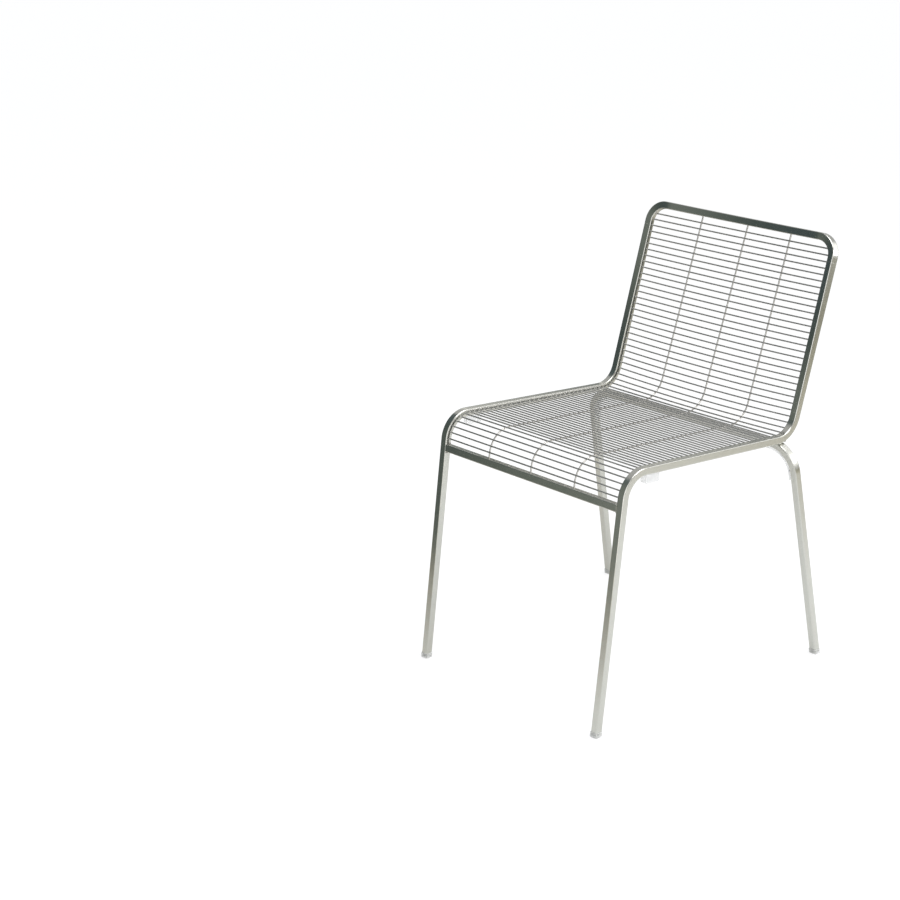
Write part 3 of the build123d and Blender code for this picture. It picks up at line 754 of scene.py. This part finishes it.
block_middle = seat_corner + seat_back * (BLOCK_START + BLOCK_LENGTH / 2) + seat_in * TUBE
edge_turn = np.linspace(0, math.pi / 2, BLOCK_EDGE_STEPS)
edge_inset = BLOCK_EDGE * (1 - np.sin(edge_turn))
edge_place = BLOCK_WIDTH / 2 - BLOCK_EDGE * (1 - np.cos(edge_turn))
block_insets = np.concatenate([edge_inset, edge_inset[::-1]])
block_places = np.concatenate([-edge_place, edge_place[::-1]])
block_outlines = np.array([block_outline(inset) for inset in block_insets])
for way, hand in HANDS:
    grid = block_middle + across * TUBE_X * way + across * block_places[:, None, None]
    grid = grid + seat_back * block_outlines[:, :, :1] - seat_in * block_outlines[:, :, 1:]
    Body().rings(*plain(grid[:, ::-1])).make(
        f"stacking_block_{hand}_clear", plastic, [f"stacking_block_{hand}"], "clear_plastic"
    )

# Curved strips inside the hoop bends, with two rivet heads on each
leg_length = math.hypot(splay, hoop_drop)
splay_sin, splay_cos = splay / leg_length, hoop_drop / leg_length


def inside_hoop(depth):
    """Corner of the bar and the right leg moved inward by a depth, as width and rise."""
    return np.array([hoop_corner_x - splay_cos * depth / (1 + splay_sin), -depth])


bend_middle_flat = inside_hoop(HOOP_BEND)
strip_depth = half + STRIP_THICK / 2
strip_bend = HOOP_BEND - strip_depth
strip_start = np.array([bend_middle_flat[0] - STRIP_ON_BAR, -strip_depth])
strip_end = bend_middle_flat + np.array([splay_cos, splay_sin]) * strip_bend
strip_end = strip_end + np.array([splay_sin, -splay_cos]) * STRIP_ON_LEG
strip_section = rounded_square(STRIP_WIDTH, STRIP_THICK, STRIP_EDGE)

# A rivet's head: radii and heights of its rings, from inside the strip over the dome
dome = np.linspace(0, math.pi / 2 - DOME_OPENING, DOME_STEPS)
head_radii = np.concatenate([[RIVET_HEAD / 2], RIVET_HEAD / 2 * np.cos(dome)])[:, None, None]
head_rises = np.concatenate([[-RIVET_SUNK], RIVET_RISE * np.sin(dome)])[:, None, None]
circle = round_outline(1.0, HEAD_SIDES)
heads = Body()
for way, hand in HANDS:
    flat = [strip_start, inside_hoop(strip_depth), strip_end]
    path = bent_path([on_hoop(x * way, rise) for x, rise in flat], [strip_bend], hoop_rear)
    grid, lengths, girth = swept_grid(path, strip_section)
    for end in (0, -1):
        grid[end] = grid[end].mean(0) + (grid[end] - grid[end].mean(0)) * STRIP_END_SHARE
    Body().rings(grid, lengths, girth).make(
        f"rear_protector_{hand}_clear", plastic, [f"rear_protector_{hand}"], "clear_plastic"
    )
    for angle in np.radians(RIVET_ANGLES):
        outward = np.array([math.sin(angle), math.cos(angle)])
        seat_flat = bend_middle_flat + outward * (HOOP_BEND - half - STRIP_THICK)
        seat = on_hoop(seat_flat[0] * way, seat_flat[1])
        axis = on_hoop(bend_middle_flat[0] * way, bend_middle_flat[1]) - seat
        axis = axis / np.linalg.norm(axis)
        other = np.cross(axis, hoop_rear)
        ring = hoop_rear * circle[:, :1] + other * circle[:, 1:]
        heads.rings(*plain(seat + axis * head_rises - ring * head_radii))
heads.make("protector_rivet_heads", rivet_steel, ["protector_rivets"], "rivet_steel")

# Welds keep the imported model's meshes
for name in ("edge_wire_tacks", "hoop_welds", "crossbar_welds"):
    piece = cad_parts[name]
    piece.data.materials.clear()
    piece.data.materials.append(weld_steel)

# Stage, in metres
FLOOR_SIZE, FLOOR_DROP = 60.0, 0.0004
TONED_FROM, TONED_NEAR, TONED_FAR = (0.45, 0.1, 0), 0.5, 8.0
FRONT_WAY, FRONT_NEAR, FRONT_FAR = (-0.707, -0.707, 0), 0.45, 2.1
PAPER_WHITE, GLOW_SHARE, GLOW_STRENGTH = (0.9, 0.9, 0.9, 1), 0.7, 1.1
WHITE = (1, 1, 1, 1)
# Sockets of the Mix node for colours, which have no names of their own
MIX_FIRST, MIX_SECOND, MIX_RESULT = 6, 7, 2
# Painted reflection tones of the floor, seen only in reflections, by share of the distance from a
# place beside the chair
PAINTED_FLOOR_REFLECTIONS = (
    (0.0, (0.72, 0.72, 0.70, 1)),
    (0.06, (0.60, 0.585, 0.54, 1)),
    (0.14, (0.46, 0.43, 0.35, 1)),
    (0.2, (0.35, 0.33, 0.255, 1)),
    (0.6, (0.34, 0.32, 0.235, 1)),
    (0.8, (0.46, 0.44, 0.36, 1)),
    (1.0, (0.7, 0.69, 0.63, 1)),
)
# Painted shade of the floor, seen only in reflections, darker towards the front left
PAINTED_FRONT_SHADE = (
    (0.0, WHITE),
    (0.06, (0.93, 0.93, 0.94, 1)),
    (0.45, (0.73, 0.74, 0.74, 1)),
    (1.0, (0.3, 0.32, 0.31, 1)),
)


def floor_paint(name):
    """Paper that glows white to the camera with part of the shadow kept, and painted in
    reflections.

    In reflections it shows a painted reflection tone that follows the distance from a place
    beside the chair, times a painted shade that follows the distance towards the front left.
    """
    material, tree, output = empty_material(name)
    seen = node(tree, "ShaderNodeLightPath", {}, {}, "Is Camera Ray")
    reflected = node(tree, "ShaderNodeLightPath", {}, {}, "Is Glossy Ray")
    place = node(tree, "ShaderNodeTexCoord", {}, {}, "Object")
    shifted = node(
        tree, "ShaderNodeVectorMath", {"operation": "SUBTRACT"}, {0: place, 1: TONED_FROM}
    )
    away = node(tree, "ShaderNodeVectorMath", {"operation": "LENGTH"}, {0: shifted}, "Value")
    far = even_step(tree, away, TONED_NEAR, TONED_FAR)
    far_tone = node(tree, "ShaderNodeValToRGB", {"stops": PAINTED_FLOOR_REFLECTIONS}, {0: far})
    front = even_step(tree, share_along(tree, place, FRONT_WAY), FRONT_NEAR, FRONT_FAR)
    front_tone = node(tree, "ShaderNodeValToRGB", {"stops": PAINTED_FRONT_SHADE}, {0: front})
    tone = node(
        tree,
        "ShaderNodeMix",
        {"data_type": "RGBA", "blend_type": "MULTIPLY"},
        {"Factor": 1.0, MIX_FIRST: far_tone, MIX_SECOND: front_tone},
        MIX_RESULT,
    )
    paper = node(tree, "ShaderNodeBsdfDiffuse", {}, {"Color": PAPER_WHITE})
    toned = node(tree, "ShaderNodeBsdfDiffuse", {}, {"Color": tone})
    glow = node(tree, "ShaderNodeEmission", {}, {"Color": WHITE, "Strength": GLOW_STRENGTH})
    white = node(tree, "ShaderNodeMixShader", {}, {0: seen * GLOW_SHARE, 1: paper, 2: glow})
    mixed = node(tree, "ShaderNodeMixShader", {}, {0: reflected, 1: white, 2: toned})
    tree.links.new(mixed.socket, output.inputs["Surface"])
    return material


def plane(name, size, place, material):
    """Flat square facing up."""
    points = np.array([[-1, -1, 0], [1, -1, 0], [1, 1, 0], [-1, 1, 0]], float) * size / 2 + place
    mesh = bpy.data.meshes.new(name)
    mesh.from_pydata(points.tolist(), [], [[0, 1, 2, 3]])
    mesh.materials.append(material)
    made = bpy.data.objects.new(name, mesh)
    bpy.context.scene.collection.objects.link(made)
    return made


floor = plane("floor", FLOOR_SIZE, np.array([0, 0, -FLOOR_DROP]), floor_paint("floor_paper"))


def screen(name, radius, low, high, start, end, tones, glow, rise, tilt=0.0):
    """Part of a cylinder wall round the chair, seen only in its reflections.

    The tones run from its start to its end by angle. From the lower to the upper value of
    rise, as shares of its height, they go over into the glow; tilt adds to the height's share
    from start to end.
    """
    count = 40
    share = np.linspace(0, 1, count)
    angles = np.radians(start + (end - start) * share)
    ring = np.stack([np.cos(angles), np.sin(angles)], 1) * radius
    points = np.concatenate([np.c_[ring, np.full(count, low)], np.c_[ring, np.full(count, high)]])
    number = np.arange(count - 1)
    faces = np.stack([number, number + 1, number + count + 1, number + count], 1)
    mesh = bpy.data.meshes.new(name)
    mesh.from_pydata(points.tolist(), [], faces.tolist())
    layer = mesh.uv_layers.new(name="cloth")
    sheet = np.c_[np.tile(share, 2), np.repeat([0, 1], count)]
    layer.data.foreach_set("uv", sheet[faces.ravel()].ravel())
    material, tree, output = empty_material(name + "_cloth")
    place = node(tree, "ShaderNodeUVMap", {"uv_map": "cloth"})
    turned_share = node(tree, "ShaderNodeSeparateXYZ", {}, {0: place}, "X")
    risen_share = node(tree, "ShaderNodeSeparateXYZ", {}, {0: place}, "Y")
    tone = node(tree, "ShaderNodeValToRGB", {"stops": tones}, {0: turned_share})
    cloth = node(tree, "ShaderNodeEmission", {}, {"Color": tone, "Strength": 1.0})
    lit = node(tree, "ShaderNodeEmission", {}, {"Color": (*glow, 1), "Strength": 1.0})
    risen = soft_step(tree, risen_share + turned_share * tilt, *rise, 0.0, 1.0)
    mixed = node(tree, "ShaderNodeMixShader", {}, {0: risen, 1: cloth, 2: lit})
    tree.links.new(mixed.socket, output.inputs["Surface"])
    mesh.materials.append(material)
    made = bpy.data.objects.new(name, mesh)
    bpy.context.scene.collection.objects.link(made)
    made.visible_camera = made.visible_diffuse = made.visible_shadow = False
    made.visible_transmission = made.visible_volume_scatter = False


FRONT_TONES = (
    (0.0, (0.022, 0.038, 0.048, 1)),
    (0.28, (0.062, 0.084, 0.086, 1)),
    (0.46, (0.060, 0.078, 0.072, 1)),
    (0.6, (0.150, 0.170, 0.150, 1)),
    (1.0, (0.30, 0.32, 0.29, 1)),
)
REAR_TONES = (
    (0.0, (0.06, 0.08, 0.08, 1)),
    (0.25, (0.07, 0.09, 0.09, 1)),
    (0.45, (0.07, 0.085, 0.08, 1)),
    (1.0, (0.15, 0.18, 0.17, 1)),
)
RIGHT_GLOW = (1.4, 1.4, 1.4)
RIGHT_TONES = ((0.0, (*RIGHT_GLOW, 1)), (1.0, (*RIGHT_GLOW, 1)))
screen(
    "front_screen", radius=1.3, low=0.0, high=2.0, start=-180, end=-88,
    tones=FRONT_TONES, glow=(0.10, 0.13, 0.13), rise=(0.5, 1.0),
)
screen(
    "left_rear_screen", radius=1.6, low=0.0, high=1.15, start=112, end=180,
    tones=REAR_TONES, glow=(0.80, 0.80, 0.76), rise=(0.70, 0.75), tilt=0.111,
)
screen(
    "right_glow", radius=1.6, low=0.0, high=1.6, start=-75, end=-10,
    tones=RIGHT_TONES, glow=RIGHT_GLOW, rise=(0.5, 1.0),
)

# Room: its walls and ceiling brighten towards the rear and upwards; a window and a skylight are
# given by the way to their middle and by the shares along it at their rim and inside it
ROOM_TINT, REFLECTED_TINT = (0.95, 0.97, 1, 1), (1, 1, 0.99, 1)
ROOM_SLOPE, ROOM_DARK = 0.9, 0.05
WALL_RISE, WALL_LIGHT = (-0.55, 0.35), 1.0
CEILING_RISE, CEILING_LIGHT = (-0.4, 0.6), 0.48
WINDOW_WAY, WINDOW_RIM, WINDOW_LIGHT = (0.602, 0.771, 0.208), (0.82, 0.97), 0.95
WINDOW_SILL = (0.0, 0.25)
SKYLIGHT_WAY, SKYLIGHT_RIM, SKYLIGHT_LIGHT = (0.36, 0.55, 0.755), (0.93, 0.97), 0.5


def studio_world():
    """White to the camera, a bright room to matt surfaces and a darker one in reflections.

    The darker one has a window and a skylight behind the chair's right side.
    """
    world = bpy.data.worlds.new("studio")
    bpy.context.scene.world = world
    world.use_nodes = True
    tree = world.node_tree
    tree.nodes.clear()
    output = tree.nodes.new("ShaderNodeOutputWorld")
    seen = node(tree, "ShaderNodeLightPath", {}, {}, "Is Camera Ray")
    reflected = node(tree, "ShaderNodeLightPath", {}, {}, "Is Glossy Ray")
    way = node(tree, "ShaderNodeTexCoord", {}, {}, "Generated")
    rear = node(tree, "ShaderNodeSeparateXYZ", {}, {0: way}, "Y")
    up = node(tree, "ShaderNodeSeparateXYZ", {}, {0: way}, "Z")
    slanting = rear + up * ROOM_SLOPE
    wall = soft_step(tree, slanting, *WALL_RISE, ROOM_DARK, WALL_LIGHT)
    ceiling = soft_step(tree, slanting, *CEILING_RISE, ROOM_DARK, CEILING_LIGHT)
    toward = share_along(tree, way, WINDOW_WAY)
    window = soft_step(tree, toward, *WINDOW_RIM, 0.0, WINDOW_LIGHT)
    window = window * soft_step(tree, up, *WINDOW_SILL, 0.0, 1.0)
    above = share_along(tree, way, SKYLIGHT_WAY)
    skylight = soft_step(tree, above, *SKYLIGHT_RIM, 0.0, SKYLIGHT_LIGHT)
    light = window + skylight + ceiling
    room = node(tree, "ShaderNodeBackground", {}, {"Color": ROOM_TINT, "Strength": wall})
    glossy_room = node(
        tree, "ShaderNodeBackground", {}, {"Color": REFLECTED_TINT, "Strength": light}
    )
    white = node(tree, "ShaderNodeBackground", {}, {"Color": WHITE, "Strength": 1.0})
    felt = node(tree, "ShaderNodeMixShader", {}, {0: reflected, 1: room, 2: glossy_room})
    mixed = node(tree, "ShaderNodeMixShader", {}, {0: seen, 1: felt, 2: white})
    tree.links.new(mixed.socket, output.inputs["Surface"])


studio_world()
CHAIR_MIDDLE = (0, 0, 0.4)


def softbox(name, place, size, power):
    """Square area light pointed at the chair's middle, in metres and watts."""
    lamp = bpy.data.lights.new(name, "AREA")
    lamp.energy, lamp.size = power, size
    made = bpy.data.objects.new(name, lamp)
    made.location = place
    made.rotation_mode = "QUATERNION"
    made.rotation_quaternion = (Vector(CHAIR_MIDDLE) - Vector(place)).to_track_quat("-Z", "Y")
    bpy.context.scene.collection.objects.link(made)


softbox("overhead_softbox", place=(0.6, 0.2, 2.6), size=1.6, power=30)
softbox("right_softbox", place=(2.4, 1.2, 1.5), size=1.0, power=14)

# Camera, where the photo's was
AZIMUTH, ELEVATION, ROLL = math.radians(47.82), math.radians(19.11), math.radians(-0.30)
FOCAL_PIXELS = 1937.55
SENSOR = 36.0
IMAGE = 900.0
CAMERA_PLACE = (2.3060, -2.5441, 1.5855)

camera_data = bpy.data.cameras.new("photo_camera")
camera_data.sensor_width = SENSOR
camera_data.lens = FOCAL_PIXELS * SENSOR / IMAGE
camera = bpy.data.objects.new("photo_camera", camera_data)
back = Vector((math.sin(AZIMUTH), -math.cos(AZIMUTH), 0)) * math.cos(ELEVATION)
back.z = math.sin(ELEVATION)
level = Vector((math.cos(AZIMUTH), math.sin(AZIMUTH), 0))
upright = back.cross(level)
right = level * math.cos(ROLL) + upright * math.sin(ROLL)
top = upright * math.cos(ROLL) - level * math.sin(ROLL)
facing = Matrix((right, top, back)).transposed().to_4x4()
camera.matrix_world = Matrix.Translation(CAMERA_PLACE) @ facing
bpy.context.scene.collection.objects.link(camera)
bpy.context.scene.camera = camera
bpy.context.scene.view_settings.view_transform = "Standard"
